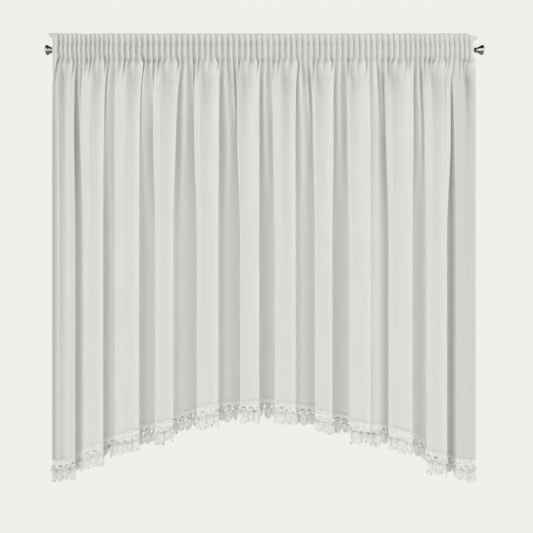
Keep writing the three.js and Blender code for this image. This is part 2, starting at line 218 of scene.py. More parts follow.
# A pleat's section: its corners, across in shares of the pitch and out in shares of the depth. It starts
# under the pleat on its left, lies back, rises to a crest and turns back under itself.
PLEAT_CORNERS = [(-0.12, 0), (0.05, 0), (0.45, 0.22), (0.72, 0.72)]
PLEAT_CORNERS += [(0.86, 1), (0.97, 0.9), (0.96, 0.5), (0.88, 0)]
SECTION_POINTS = 120
LEFT_FLARE = 14.0
LEFT_OUT = 2.0
RIGHT_FLARE = 16.0
RIGHT_FLARE_POWER = 0.3
RIGHT_DROOP = 13.0
DROOP_PLEATS = 2
DROOP_POWER = 1.5

# The fronts of the main folds from left to right, in millimetres. left and right are a front's edges at the
# hem, left_up and right_up where the pleats have run out. set_back is how far its left edge lies behind,
# crown how far its right edge stands out as a lip, tuck how far its right side runs back under it.
FOLD_COLUMNS = "left_up right_up left right set_back crown tuck"
FOLDS = [
    (-717, -634, -717, -630, 20, 5, 16),
    (-618, -535, -608, -537, 1, 6, 12),
    (-503, -416, -501, -417, 0, 6, 11),
    (-374, -296, -366, -304, 0, 5, 6),
    (-236, -151, -227, -153, 0, 7, 6),
    (-92, -16, -82, -17, 0, 7, 5),
    (27, 104, 34, 105, 0, 6, 4),
    (162, 231, 169, 227, 0, 6, 3),
    (277, 354, 284, 354, 0, 7, -2),
    (407, 498, 415, 494, 0, 7, 4),
    (535, 623, 541, 609, 0, 7, 4),
    (634, 709, 640, 709, 0, -14, 3),
]
# The valleys between them: where the soft ridge on a valley's floor lies, and how far the floor's left end,
# the ridge and the floor's right end stand in front of the full depth, where the pleats have run out and at
# the hem.
VALLEY_COLUMNS = "ridge_at_up foot_left_up ridge_up foot_right_up ridge_at foot_left ridge foot_right"
VALLEYS = [
    (-626, 16, 38, 48, -622, 32, 40, 50),
    (-531, 36, 40, 26, -524, 24, 36, 36),
    (-408, 28, 34, -4, -400, 13, 18, 14),
    (-270, 8, 38, -6, -282, 26, 27, 0),
    (-116, 6, 36, 0, -131, 18, 26, 2),
    (5, 6, 34, 5, 6, 6, 6, 10),
    (136, 12, 38, 4, 128, 24, 27, 4),
    (254, 10, 30, 0, 252, 8, 4, 4),
    (380, 36, 44, 0, 379, 44, 47, 12),
    (527, 22, 48, 30, 524, 46, 24, 20),
    (626, 0, 2, -3, 618, 22, 10, -6),
]
# Where on each front a gap between two pleats runs out.
CREASE_AT = [-681, -580, -462, -340, -206, -74, 68, 186, 301, 439, 575, 679]
EDGE_LEFT = -716.0
EDGE_RIGHT = 710.0
EDGE_REACH = 220.0
FOLD_FRONT = -33.0
FOLD_TUCK = 5.0
SHOULDER = 0.22
FOLD_DEPTH_SAVED = 2.0
ROUNDING_OF_RUN = 0.45
# How softly a fold's corners turn: left edge, shoulder, right edge, valley's left foot, ridge, right foot.
ROUNDINGS = [3.0, 18.0, 2.0, 8.0, 15.0, 7.0]
ROUNDING_STEPS = 9


def smooth(value):
    """0 below 0, 1 above 1, and an even S-curve between."""
    value = np.clip(value, 0, 1)
    return value * value * (3 - 2 * value)


def bell(value):
    """1 at 0, and falling off evenly on both sides: e to the power of minus the square."""
    return np.exp(-(value**2))


def running_total(steps):
    """The sum of no step, of the first one, of the first two, and so on."""
    return np.concatenate([[0], np.cumsum(steps)])


def table(columns, rows):
    """The columns of a table by their names."""
    return dict(zip(columns.split(), np.array(rows, dtype=float).T))


fold = table(FOLD_COLUMNS, FOLDS)
valley = table(VALLEY_COLUMNS, VALLEYS)
pleat_pitch = np.concatenate([np.full(pleats, pitch) for pleats, pitch in PLEAT_ZONES])
pleat_edges = HEADING_LEFT + running_total(pleat_pitch)
PLEATS = len(pleat_pitch)
PLEAT_CLOTH = FLAT_WIDTH / PLEATS
cloth_edges = np.arange(PLEATS + 1) * PLEAT_CLOTH


def pleats_before(x):
    """How many pleats lie to the left of a place across."""
    return np.interp(x, pleat_edges, np.arange(PLEATS + 1))


def fold_corners(level):
    """Corners of the main folds' section, at the hem or, with the level "_up", where the pleats have run out:
    for each fold its left edge, shoulder and right edge, then the valley's left foot, ridge and right foot.
    The cloth that fronts and valleys leave over makes the depth."""
    left, right = fold["left" + level], fold["right" + level]
    middle = (fold["left"] + fold["right"]) / 2
    cloth = np.interp(middle, pleat_edges, cloth_edges)
    deepest = FOLD_FRONT + (np.diff(cloth) - np.diff(middle)) / 2 + FOLD_DEPTH_SAVED
    start_depth = cloth[0] - (middle[0] - fold["left"][0])
    end_depth = FLAT_WIDTH - cloth[-1] - (fold["right"][-1] - middle[-1])
    front_x = np.stack([left, right - SHOULDER * (right - left), right], axis=1)
    front_y = FOLD_FRONT + np.stack([fold["set_back"], 0 * left, -fold["crown"]], axis=1)
    feet = [(right - fold["tuck"])[:-1], left[1:] + FOLD_TUCK]
    valley_x = np.stack([feet[0], valley["ridge_at" + level], feet[1]], axis=1)
    stands_out = [valley[name + level] for name in ("foot_left", "ridge", "foot_right")]
    valley_y = np.stack([deepest - out for out in stands_out], axis=1)
    x = np.append(np.concatenate([front_x[:-1], valley_x], axis=1).ravel(), front_x[-1])
    y = np.append(np.concatenate([front_y[:-1], valley_y], axis=1).ravel(), front_y[-1])
    x = np.concatenate([[x[0] + 2 * FOLD_TUCK], x, [x[-1] - 2 * FOLD_TUCK]])
    y = np.concatenate([[FOLD_FRONT + start_depth], y, [FOLD_FRONT + end_depth]])
    return np.stack([x, y], axis=1)


def rounded(corners):
    """The corners joined by straight runs, each inner corner rounded by a quadratic curve."""
    inner = corners[1:-1]
    back, on = corners[:-2] - inner, corners[2:] - inner
    back_run, on_run = np.linalg.norm(back, axis=1), np.linalg.norm(on, axis=1)
    most = np.resize(ROUNDINGS, len(back))
    radius = np.minimum(most, ROUNDING_OF_RUN * np.minimum(back_run, on_run))[:, None]
    start = (inner + back / back_run[:, None] * radius)[:, None]
    end = (inner + on / on_run[:, None] * radius)[:, None]
    share = np.linspace(0, 1, ROUNDING_STEPS)[None, :, None]
    curve = (1 - share) ** 2 * start + 2 * share * (1 - share) * inner[:, None] + share**2 * end
    return np.concatenate([corners[:1], curve.reshape(-1, 2), corners[-1:]])


fold_low, fold_high = rounded(fold_corners("")), rounded(fold_corners("_up"))
fold_run = running_total(np.linalg.norm(np.diff(fold_low, axis=0), axis=1))
fold_cloth = fold_run * FLAT_WIDTH / fold_run[-1]

# The place on the cloth of each front's crease, and the gap between two pleats that runs out there. Below the
# pocket the pleats on both sides of that gap lean to the left and the next one leans to the right, in shares
# of the pitch, which leaves a flat stretch between them.
PLEAT_LEANS = {-1: -0.5, 0: -0.3, 1: 0.48}
STRENGTH_SPREAD = 0.16
NOD_SPREAD = 0.7
LEAN_SPREAD = 0.12
UNEVEN = (0.8, 1.2)
corner_cloth = fold_cloth[1:-1].reshape(-1, ROUNDING_STEPS)[:, ROUNDING_STEPS // 2]
front_left, front_right = corner_cloth[0 :: len(ROUNDINGS)], corner_cloth[2 :: len(ROUNDINGS)]
crease_share = (np.array(CREASE_AT) - fold["left_up"]) / (fold["right_up"] - fold["left_up"])
crease_cloth = front_left + (front_right - front_left) * crease_share
crease_number = np.round(pleats_before(CREASE_AT)).astype(int)
chance = np.random.default_rng(11)
pleat_strength = 1 + STRENGTH_SPREAD * chance.uniform(-1, 1, PLEATS + 2)
frill_nod = NOD_SPREAD * chance.uniform(-1, 1, PLEATS + 2)
pleat_lean = LEAN_SPREAD * chance.uniform(-1, 1, PLEATS)
for step, lean in PLEAT_LEANS.items():
    beside_crease = np.minimum(crease_number + step, PLEATS - 1)
    pleat_lean[beside_crease] = lean * chance.uniform(*UNEVEN, len(FOLDS))


def hem_height(cloth):
    """The arched hem: it falls from the centre by a power of the way out to the sides, a little unevenly."""
    share = cloth / FLAT_WIDTH
    out = np.minimum(1, np.abs(share - 0.5) / (0.5 * ARCH_REACH))
    arch = HEM_CENTRE + (HEM_SIDE - HEM_CENTRE) * out**ARCH_POWER
    return arch + np.interp(share, HEM_PLACES, HEM_UNEVEN)


def evened(values):
    """Values that go round in a ring, each evened out with four neighbours on both sides."""
    return np.mean([np.roll(values, step) for step in range(-4, 5)], axis=0)


corner_across, corner_out = np.array(PLEAT_CORNERS, dtype=float).T
corner_steps = np.hypot(np.diff(corner_across) * np.mean(pleat_pitch), np.diff(corner_out) * PLEAT_DEPTH)
corner_parts = running_total(corner_steps) / np.sum(corner_steps)
CREST_AT = corner_parts[np.argmax(corner_out)]
pleat_parts = np.linspace(0, 1, SECTION_POINTS, endpoint=False)
pleat_across = evened(np.interp(pleat_parts, corner_parts, corner_across) - pleat_parts)
pleat_out = evened(np.interp(pleat_parts, corner_parts, corner_out))
# The pleats above a front run into it and the others into the valleys, each front's right edge under a crest.
front_from = pleats_before(fold["left_up"])
front_to = np.round(pleats_before(fold["right_up"]) - CREST_AT) + CREST_AT
front_ends = np.stack([front_from, front_to], axis=1).ravel()


def in_valley(numbers):
    """Whether pleat numbers lie between two fronts."""
    return np.searchsorted(front_ends, numbers) % 2 == 0


# How the gaps between pleats go on below the pocket: by how much each grows, and how fast it closes again.
# The pleats that run down into the valleys keep a ridge of their own for a while.
GAP_GROWTH = 0.15
GAP_GROWS_OVER = 30.0
VALLEY_GAP_LENGTH = 150.0
FRONT_GAP_LENGTH = 48.0
CREASE_GAP_LENGTH = 100.0
NEXT_GAP_LENGTH = 80.0
SIDE_GAPS = (0.75, 0.3)
NOTCH_MOST = 0.8
NOTCH_BELOW = 2.0
NOTCH_REACH = 8.0
VALLEY_RIDGE = 9.0
VALLEY_RIDGE_FROM = 60.0
VALLEY_RIDGE_LENGTH = 170.0
VALLEY_RIDGE_POWER = 1.5
SIDE_KNOT = 0.4
gap_in_valley = in_valley(np.arange(PLEATS + 1))
gap_growth = np.where(gap_in_valley, GAP_GROWTH, 0.0)
gap_length = np.where(gap_in_valley, VALLEY_GAP_LENGTH, FRONT_GAP_LENGTH)
gap_growth[crease_number] = GAP_GROWTH
gap_length[crease_number] = CREASE_GAP_LENGTH
gap_length[np.minimum(crease_number + 1, PLEATS)] = NEXT_GAP_LENGTH
gap_notch = chance.uniform(0, NOTCH_MOST, PLEATS + 1)
gap_start = np.ones(PLEATS + 1)
gap_start[[0, -1]] = SIDE_GAPS
crest_in_valley = in_valley(np.arange(PLEATS) + CREST_AT)
valley_ridge = np.where(crest_in_valley, VALLEY_RIDGE * chance.uniform(*UNEVEN, PLEATS), 0.0)
front_knots = np.stack([front_from, crease_number, front_to], axis=1).ravel()
number_knots = np.concatenate([[0], np.clip(front_knots, SIDE_KNOT, PLEATS - SIDE_KNOT), [PLEATS]])
front_cloth = np.stack([front_left, crease_cloth, front_right], axis=1).ravel()
number_cloth = np.concatenate([[0], front_cloth, [FLAT_WIDTH]])

# How much the stitched rows draw the pleats in, and over what height; how much flatter they are in the frill;
# and where below the pocket they lean over.
UPPER_DRAW = 0.12
UPPER_DRAW_REACH = 3.0
LOWER_DRAW = 0.1
LOWER_DRAW_REACH = 4.0
FRILL_FLATTER = 0.45
FRILL_BELOW = 6.0
LEAN_LENGTH = 70.0
LEAN_FROM = -25.0
LEAN_OVER = 26.0


def pleated(cloth, z):
    """The pleats at heights z: the section for each whole pleat number, as places across and distances behind
    the crests. It is drawn in at the stitched rows, and below them crests lean to each other and gaps open or
    close."""
    number = np.interp(cloth, number_cloth, number_knots)
    pitch = np.interp(number, np.arange(PLEATS) + 0.5, pleat_pitch)
    half = np.arange(PLEATS + 2) - 0.5
    below = np.maximum(0, LOWER_STITCH - z)
    upper_draw = UPPER_DRAW * bell((z - UPPER_STITCH) / UPPER_DRAW_REACH)
    lower_draw = LOWER_DRAW * bell((z - LOWER_STITCH) / LOWER_DRAW_REACH)
    drawn = 1 - upper_draw - lower_draw
    frill = 1 - FRILL_FLATTER * smooth((z - UPPER_STITCH + FRILL_BELOW) / (TOP_EDGE - UPPER_STITCH))
    gap = np.minimum(np.floor(number + 1 - CREST_AT).astype(int), PLEATS)
    opening = gap_start[gap] * (1 + gap_growth[gap] * (1 - np.exp(-below / GAP_GROWS_OVER)))
    opening = opening * bell(below / gap_length[gap])
    opening = opening * (1 + gap_notch[gap] * bell((z - LOWER_STITCH + NOTCH_BELOW) / NOTCH_REACH))
    depth = PLEAT_DEPTH * np.interp(number, half, pleat_strength) * drawn * frill * opening
    depth = depth * np.sqrt(pitch / pleat_pitch.max())
    across = np.interp(number, pleat_parts, pleat_across, period=1) * bell(below / LEAN_LENGTH)
    leaning = smooth((LEAN_FROM - z) / LEAN_OVER)
    lean = np.interp(number, np.arange(PLEATS) + CREST_AT, pleat_lean) * leaning
    x = np.interp(number, np.arange(PLEATS + 1), pleat_edges) + (across + lean) * pitch
    return x, depth * (1 - np.interp(number, pleat_parts, pleat_out, period=1))


def ridged(cloth, z):
    """How far the pleats that run into the valleys still stand out at heights z."""
    number = np.interp(cloth, number_cloth, number_knots)
    pleat = np.clip(np.floor(number).astype(int), 0, PLEATS - 1)
    below = np.maximum(0, LOWER_STITCH - z)
    crest = np.interp(number, pleat_parts, pleat_out, period=1) ** VALLEY_RIDGE_POWER
    start, end = smooth(below / VALLEY_RIDGE_FROM), bell(below / VALLEY_RIDGE_LENGTH)
    return valley_ridge[pleat] * crest * start * end


def folded(cloth, z):
    """The main folds at heights z, between their upper and lower sections."""
    low = smooth((RIDGE_LEVEL - z) / (RIDGE_LEVEL - FOLD_LEVEL))
    x_high, y_high = (np.interp(cloth, fold_cloth, fold_high[:, axis]) for axis in (0, 1))
    x_low, y_low = (np.interp(cloth, fold_cloth, fold_low[:, axis]) for axis in (0, 1))
    return x_high + (x_low - x_high) * low, y_high + (y_low - y_high) * low


# The broad soft hollows on the fronts, in millimetres: where each starts across, how deep it is at first and
# how deep it stays, how far to the right of its start it is deepest, and over what height it dies away.
CREASE_COLUMNS = "at depth stays width fade"
CREASES = [
    (-688, 12, 5, 15, 500),
    (-585, 28, 1.2, 19, 230),
    (-467, 30, 1.5, 24, 240),
    (-348, 30, 1.2, 20, 230),
    (-214, 30, 1.2, 20, 230),
    (-84, 30, 1.0, 18, 220),
    (58, 34, 1.2, 20, 240),
    (174, 30, 0.8, 18, 210),
    (288, 26, 0.8, 20, 200),
    (334, 6, 0.4, 10, 150),
    (430, 30, 0.8, 20, 210),
    (471, 5, 0.4, 10, 150),
    (564, 40, 1.6, 18, 230),
    (606, 20, 0.5, 11, 220),
    (668, 28, 0.8, 13, 260),
]
CREASE_KINK = 0.45
CREASE_SLOPE = 2
CREASE_FROM = 70.0
DEEPENING = 135.0
DEEPENING_POWER = 1.2
WIDENING = 130.0
WIDENING_POWER = 1.3
crease = table(CREASE_COLUMNS, CREASES)
front_edges = np.stack([fold["left_up"], fold["right_up"]], axis=1).ravel()
front_edge_cloth = np.stack([front_left, front_right], axis=1).ravel()
crease_start = np.interp(crease["at"], front_edges, front_edge_cloth)


def normals(x, y):
    """Each row's unit normals towards the front."""
    along_x, along_y = np.gradient(x, axis=-1), np.gradient(y, axis=-1)
    run = np.maximum(np.hypot(along_x, along_y), 1e-6)
    return along_y / run, -along_x / run


def hollowed(cloth, below):
    """How far the hollows lie behind the fronts: across, each deepens by a power of the way from its kink and
    comes out again in an S-curve. Downwards, it starts below the pocket and dies away to what stays."""
    across = (cloth[..., None] - crease_start) / crease["width"]
    left, right = np.maximum(across, 0) ** CREASE_KINK, 1 - smooth((across - 1) / CREASE_SLOPE)
    depth = crease["stays"] + crease["depth"] * np.exp(-below[..., None] / crease["fade"])
    depth = smooth(below / CREASE_FROM)[..., None] * depth
    return np.sum(np.where(across < 1, left, right) * depth, axis=-1)


def hanging(cloth, z):
    """The sheet below the pocket: pleats that turn into folds with the way down, in depth and in width, and
    the hollows left on the fronts. The side edges hang straight."""
    below = np.maximum(0, LOWER_STITCH - z)
    deep = 1 - np.exp(-((below / DEEPENING) ** DEEPENING_POWER))
    wide = 1 - np.exp(-((below / WIDENING) ** WIDENING_POWER))
    pleat_x, behind = pleated(cloth, z)
    fold_x, fold_y = folded(cloth, z)
    x = pleat_x + (fold_x - pleat_x) * wide
    y = HEAD_FRONT + (fold_y - HEAD_FRONT) * deep + behind - ridged(cloth, z)
    y = y + hollowed(cloth, below)
    near_left = np.maximum(0, 1 - cloth / EDGE_REACH) ** 2
    near_right = np.maximum(0, 1 - (FLAT_WIDTH - cloth) / EDGE_REACH) ** 2
    left = (EDGE_LEFT - x.min(axis=-1, keepdims=True)) * near_left
    right = (EDGE_RIGHT - x.max(axis=-1, keepdims=True)) * near_right
    return x + left + right, y


def headed(cloth, z, side):
    """One layer of the heading, side -1 in front and 1 behind: the pleats, parted round the rod in the
    pocket, and above it a frill whose left end flares out and whose right end flares out and droops."""
    x, behind = pleated(cloth, z)
    y = HEAD_FRONT + behind
    reach = np.where(z > 0, UPPER_STITCH, -LOWER_STITCH)
    part = np.cos(0.5 * np.pi * np.minimum(1, np.abs(z) / reach)) ** 2
    normal_x, normal_y = normals(x, y)
    x = x - side * normal_x * LAYER_GAP / 2
    parted = side * (POCKET_CLEARANCE + POCKET_PLEATS * PLEAT_DEPTH) - PLEAT_DEPTH / 2 - HEAD_FRONT
    y = y - side * normal_y * LAYER_GAP / 2 + part * parted
    rise = smooth((z - UPPER_STITCH) / (TOP_EDGE - UPPER_STITCH))
    left = np.maximum(0, 1 - cloth / PLEAT_CLOTH)
    right = np.maximum(0, 1 - (FLAT_WIDTH - cloth) / PLEAT_CLOTH)
    x = x + rise**RIGHT_FLARE_POWER * RIGHT_FLARE * right**2 - (rise * LEFT_FLARE + LEFT_OUT) * left**2
    half = (np.arange(PLEATS + 2) - 0.5) * PLEAT_CLOTH
    droop = np.maximum(0, 1 - (FLAT_WIDTH - cloth) / (DROOP_PLEATS * PLEAT_CLOTH))
    nod = np.interp(cloth, half, frill_nod) - RIGHT_DROOP * droop**DROOP_POWER
    return x, y, z + rise * nod


# The sheet's grid: fifteen columns to a pleat, and rows from the hem up the front, over the top edge and down
# the back to the end of the turned-over head. Rows lie closer where pleats turn into folds.
COLUMN_PARTS = np.array([0, 0.05, 0.1, 0.2, 0.3, 0.4, 0.48, 0.55, 0.61, 0.66, 0.7, 0.75, 0.81, 0.88, 0.94])
CLOSE_ROWS_TO = -130.0
LEVEL_ROWS_TO = -360.0
column_numbers = np.append((np.arange(PLEATS)[:, None] + COLUMN_PARTS).ravel(), PLEATS)
columns = np.interp(column_numbers, number_knots, number_cloth)


def on_columns(rows):
    """Row heights as a grid, each the same across all columns."""
    return np.repeat(rows[:, None], len(columns), axis=1)


close_rows = np.linspace(LOWER_STITCH, CLOSE_ROWS_TO, 20)
upper_rows = np.concatenate([close_rows, np.linspace(CLOSE_ROWS_TO, LEVEL_ROWS_TO, 14)[1:]])
lower_share = np.linspace(0, 1, 14)[1:, None]
lower_rows = upper_rows[-1] + (hem_height(columns) - upper_rows[-1]) * lower_share
body_z = np.concatenate([lower_rows[::-1], on_columns(upper_rows[::-1])])
body_x, body_y = hanging(np.broadcast_to(columns, body_z.shape), body_z)

pocket_rows = np.linspace(LOWER_STITCH, UPPER_STITCH, 11)[1:]
front_rows = np.concatenate([pocket_rows, np.linspace(UPPER_STITCH, TOP_EDGE, 5)[1:]])
back_rows = np.concatenate([front_rows[::-1], [LOWER_STITCH, LOWER_STITCH - HEAD_MARGIN]])
front_z, back_z = on_columns(front_rows), on_columns(back_rows)
front = headed(np.broadcast_to(columns, front_z.shape), front_z, -1)
back = headed(np.broadcast_to(columns, back_z.shape), back_z, 1)

sheet = np.concatenate([np.stack(part, axis=-1) for part in ((body_x, body_y, body_z), front, back)])
up_cloth = running_total(np.linalg.norm(np.diff(sheet[:, len(columns) // 2], axis=0), axis=1))
flat_place = np.stack(np.broadcast_arrays(columns[None] * MM, up_cloth[:, None] * MM), axis=-1)
sheet_faces = grid_faces(*sheet.shape[:2])


def weave_group():
    """A plain weave on the flat cloth: warp and weft threads as two crossing waves, with slubs that run along
    the warp. Puts out the threads' height, how open the gaps between them are, and the slubs' shade."""
    group = bpy.data.node_groups.new("plain_weave", "ShaderNodeTree")
    for name, kind in (("Cloth", "Vector"), ("Threads per metre", "Float"), ("Slubs per metre", "Vector")):
        group.interface.new_socket(name, in_out="INPUT", socket_type=f"NodeSocket{kind}")
    for name in ("Height", "Openness", "Slub"):
        group.interface.new_socket(name, in_out="OUTPUT", socket_type="NodeSocketFloat")
    inside, wires = group.nodes, group.links
    entry, leave = inside.new("NodeGroupInput"), inside.new("NodeGroupOutput")

    def sum_up(kind, *values):
        """One step of arithmetic of that kind on numbers or on other nodes' outputs."""
        node = inside.new("ShaderNodeMath")
        node.operation = kind
        for place, value in enumerate(values):
            if isinstance(value, (int, float)):
                node.inputs[place].default_value = value
            else:
                wires.new(value, node.inputs[place])
        return node.outputs[0]

    split = inside.new("ShaderNodeSeparateXYZ")
    wires.new(entry.outputs["Cloth"], split.inputs[0])
    turns = sum_up("MULTIPLY", entry.outputs["Threads per metre"], 2 * np.pi)
    warp = sum_up("ABSOLUTE", sum_up("SINE", sum_up("MULTIPLY", split.outputs["X"], turns)))
    weft = sum_up("ABSOLUTE", sum_up("SINE", sum_up("MULTIPLY", split.outputs["Y"], turns)))
    wires.new(sum_up("MAXIMUM", warp, weft), leave.inputs["Height"])
    gap = sum_up("MULTIPLY", sum_up("SUBTRACT", 1.0, warp), sum_up("SUBTRACT", 1.0, weft))
    wires.new(gap, leave.inputs["Openness"])
    stretch = inside.new("ShaderNodeMapping")
    wires.new(entry.outputs["Slubs per metre"], stretch.inputs["Scale"])
    wires.new(entry.outputs["Cloth"], stretch.inputs["Vector"])
    streak = inside.new("ShaderNodeTexNoise")
    set_values(streak, {"Scale": 1.0, "Detail": 3.0})
    wires.new(stretch.outputs["Vector"], streak.inputs["Vector"])
    clearer = inside.new("ShaderNodeMapRange")
    set_values(clearer, {"From Min": 0.36, "From Max": 0.64})
    wires.new(streak.outputs["Fac"], clearer.inputs["Value"])
    wires.new(clearer.outputs["Result"], leave.inputs["Slub"])
    return group


plain_weave = weave_group()


def cloth_material(name, colour, shade, shade_and_tone_colour, threads, slubs, open_share, glow, bump):
    """A thin cloth: woven threads that scatter light, a share glow of it through the sheet, with gaps that
    show what is behind. open_share is how much the gaps take away from its alpha. Slubs go from the shade to
    the colour, and points take on the darker colour given after them by their attribute, as painted shade,
    and on the lace's tape also as its own darker tone."""
    material, nodes, output = new_material(name)
    flat = nodes.new("ShaderNodeUVMap")
    flat.uv_map = "cloth"
    weave = nodes.new("ShaderNodeGroup")
    weave.node_tree = plain_weave
    set_values(weave, {"Threads per metre": threads, "Slubs per metre": slubs})
    slubbed = nodes.new("ShaderNodeMix")
    slubbed.data_type = "RGBA"
    set_values(slubbed, {"A": shade, "B": colour})
    # This attribute carries painted shade: on the voile its side hems and outer fronts, on the lace its
    # holes, net, leaf rims, stalks and valleys.
    shade_and_tone = nodes.new("ShaderNodeAttribute")
    shade_and_tone.attribute_name = "shade_and_tone"
    tone = nodes.new("ShaderNodeMix")
    tone.data_type = "RGBA"
    tone.inputs["B"].default_value = shade_and_tone_colour
    relief = nodes.new("ShaderNodeBump")
    set_values(relief, {"Strength": bump, "Distance": 0.0002})
    clear = nodes.new("ShaderNodeMapRange")
    set_values(clear, {"To Min": 1.0, "To Max": 1.0 - open_share})
    threads_lit = nodes.new("ShaderNodeBsdfPrincipled")
    set_values(threads_lit, {
        "Roughness": 0.9, "Specular IOR Level": 0.15, "Sheen Weight": 0.08, "Sheen Roughness": 0.4,
    })
    through = nodes.new("ShaderNodeBsdfTranslucent")
    both = nodes.new("ShaderNodeMixShader")
    both.inputs["Fac"].default_value = glow
    wire(
        (flat, "UV", weave, "Cloth"), (weave, "Slub", slubbed, "Factor"), (slubbed, "Result", tone, "A"),
        (shade_and_tone, "Fac", tone, "Factor"), (weave, "Height", relief, "Height"),
        (weave, "Openness", clear, "Value"), (tone, "Result", threads_lit, "Base Color"),
        (relief, "Normal", threads_lit, "Normal"), (clear, "Result", threads_lit, "Alpha"),
        (tone, "Result", through, "Color"), (threads_lit, "BSDF", both, 1), (through, "BSDF", both, 2),
        (both, "Shader", output, "Surface"),
    )
    return material


VOILE_COLOUR = (0.83, 0.827, 0.833, 1.0)
VOILE_SHADE = (0.79, 0.787, 0.793, 1.0)
# The darker colour of the painted shade on the side hems and outer fronts.
PAINTED_EDGE_SHADE = (0.5, 0.498, 0.502, 1.0)
WEAVE_PITCH = 0.0006
voile = cloth_material(
    "white_voile", VOILE_COLOUR, VOILE_SHADE, PAINTED_EDGE_SHADE,
    threads=0.5 / WEAVE_PITCH, slubs=(320, 7, 1), open_share=0.15, glow=0.03, bump=0.3,
)

# The side hems, painted darker as shade. The left one is strongest along the edge itself, where it turns away
# from the light, also in the heading. Below the heading the outer fronts are painted greyer all over, as
# painted shade on fronts that turn aside.
SIDE_HEM = 34.0
HEM_SHADE_ABOVE = 0.28
HEM_SHADE_BELOW = 0.47
LEFT_FRONT_SHADE = 0.24
LEFT_SHADE_WIDTH = 110.0
RIGHT_FRONT_SHADE = 0.26
RIGHT_SHADE_WIDTH = 100.0
SHADE_FADE = 30.0
SHADE_FROM = 60.0
left_edge_cloth = columns[np.argmin(body_x[0])]
from_left, from_right = columns - left_edge_cloth, columns[np.argmax(body_x[0])] - columns
left_front_shade = LEFT_FRONT_SHADE * smooth((LEFT_SHADE_WIDTH - from_left) / SHADE_FADE)
right_front_shade = RIGHT_FRONT_SHADE * smooth((RIGHT_SHADE_WIDTH - from_right) / SHADE_FADE)
hanging_share = smooth((LOWER_STITCH - sheet[..., 2]) / SHADE_FROM)
hem_edge_shade = (HEM_SHADE_ABOVE + HEM_SHADE_BELOW * hanging_share) * smooth(1 - from_left / SIDE_HEM)
# All of this is painted shade, taken on as the darker colour.
painted_side_shade = np.minimum(1, hem_edge_shade + (left_front_shade + right_front_shade) * hanging_share)
panel = new_piece("voile_panel", sheet, sheet_faces, voile, flat_place, painted_side_shade)
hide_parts("panel")


# The stitching: two rows of lock stitch in white polyester thread, sewn through both layers of the
# turned-over head above and below the rod.
STITCH_PITCH = 3.0
STITCH_LENGTH = 2.2
STITCH_GAP = 0.1
STITCH_ARCH = 0.35
THREAD_RADIUS = 0.28
THREAD_SIDES = 3
THREAD_COLOUR = (0.86, 0.86, 0.85, 1.0)
THREAD_SHADE = (0.72, 0.72, 0.71, 1.0)


def stitches(cloth, z, side):
    """Short threads along a row, each an arched tube: centres go along the cloth and out over it, rings of
    three points go round them and narrow at both ends."""
    share = np.linspace(-1, 1, 5)
    places = cloth[:, None] + share * STITCH_LENGTH / 2
    heights = np.full_like(places, z)
    x, y, _ = headed(places.ravel(), heights.ravel(), side)
    ahead = headed(places.ravel() + 0.3, heights.ravel(), side)
    along = np.stack([ahead[0] - x, ahead[1] - y], axis=-1)
    along /= np.linalg.norm(along, axis=-1, keepdims=True)
    out = -side * np.stack([along[:, 1], -along[:, 0], np.zeros(len(x))], axis=-1)
    arch = np.tile(STITCH_GAP + STITCH_ARCH * (1 - share**2), len(cloth))[:, None]
    thick = np.tile(THREAD_RADIUS * np.sqrt(1 - 0.9 * share**4), len(cloth))[:, None, None]
    centre = np.stack([x, y, heights.ravel()], axis=-1) + out * arch
    angle = np.linspace(0, 2 * np.pi, THREAD_SIDES, endpoint=False)[None, :, None]
    upward = np.array([0, 0, -side * 1.0])
    ring = centre[:, None] + thick * (np.cos(angle) * out[:, None] + np.sin(angle) * upward)
    one = grid_faces(len(share), THREAD_SIDES, closed=True)
    faces = one[None] + (np.arange(len(cloth)) * len(share) * THREAD_SIDES)[:, None, None]
    return ring.reshape(-1, 3), faces.reshape(-1, 4)


def joined(parts):
    """Several points-and-faces pairs as one."""
    starts = np.cumsum([0] + [len(points) for points, _ in parts[:-1]])
    all_faces = [faces + start for (_, faces), start in zip(parts, starts)]
    return np.concatenate([points for points, _ in parts]), np.concatenate(all_faces)


thread, nodes, output = new_material("sewing_thread")
spun = nodes.new("ShaderNodeBsdfPrincipled")
spun.inputs["Roughness"].default_value = 0.6
place = nodes.new("ShaderNodeTexCoord")
twist = nodes.new("ShaderNodeTexNoise")
twist.inputs["Scale"].default_value = 900.0
fibre = nodes.new("ShaderNodeMix")
fibre.data_type = "RGBA"
set_values(fibre, {"A": THREAD_SHADE, "B": THREAD_COLOUR})
wire(
    (place, "Object", twist, "Vector"), (twist, "Fac", fibre, "Factor"),
    (fibre, "Result", spun, "Base Color"), (spun, "BSDF", output, "Surface"),
)

stitch_places = np.arange(STITCH_PITCH, FLAT_WIDTH - STITCH_PITCH, STITCH_PITCH)
rows = [(z, side) for z in (UPPER_STITCH, LOWER_STITCH) for side in (-1, 1)]
points, faces = joined([stitches(stitch_places, z, side) for z, side in rows])
new_piece("head_stitching", points, faces, thread)


# The lace edging: a strip of white knitted lace, sewn over the arched hem. Below a plain tape it has small
# eyelets over the top of each leaf and one pointed opening between two leaves. The leaves overlap a little.
LACE_TILES = 90
LEAF_LENGTHS = np.array([68.0, 74.0, 72.0])
LEAF_TOP = 31.0
TAPE_TOP = -6.0
TAPE_FOOT = 12.0
TAPE_WAVE = 1.5
TAPE_TONE = 0.1
EYELETS_FOOT = 28.0
NET_FOOT = 44.0
LACE_OUT = 1.0
LACE_SWING = 0.2
LACE_LIFT = 0.35
LACE_SWING_OVER = 40.0
LACE_LEFT_SHADE = 0.16
VALLEY_FROM = -15.0
VALLEY_OVER = 30.0
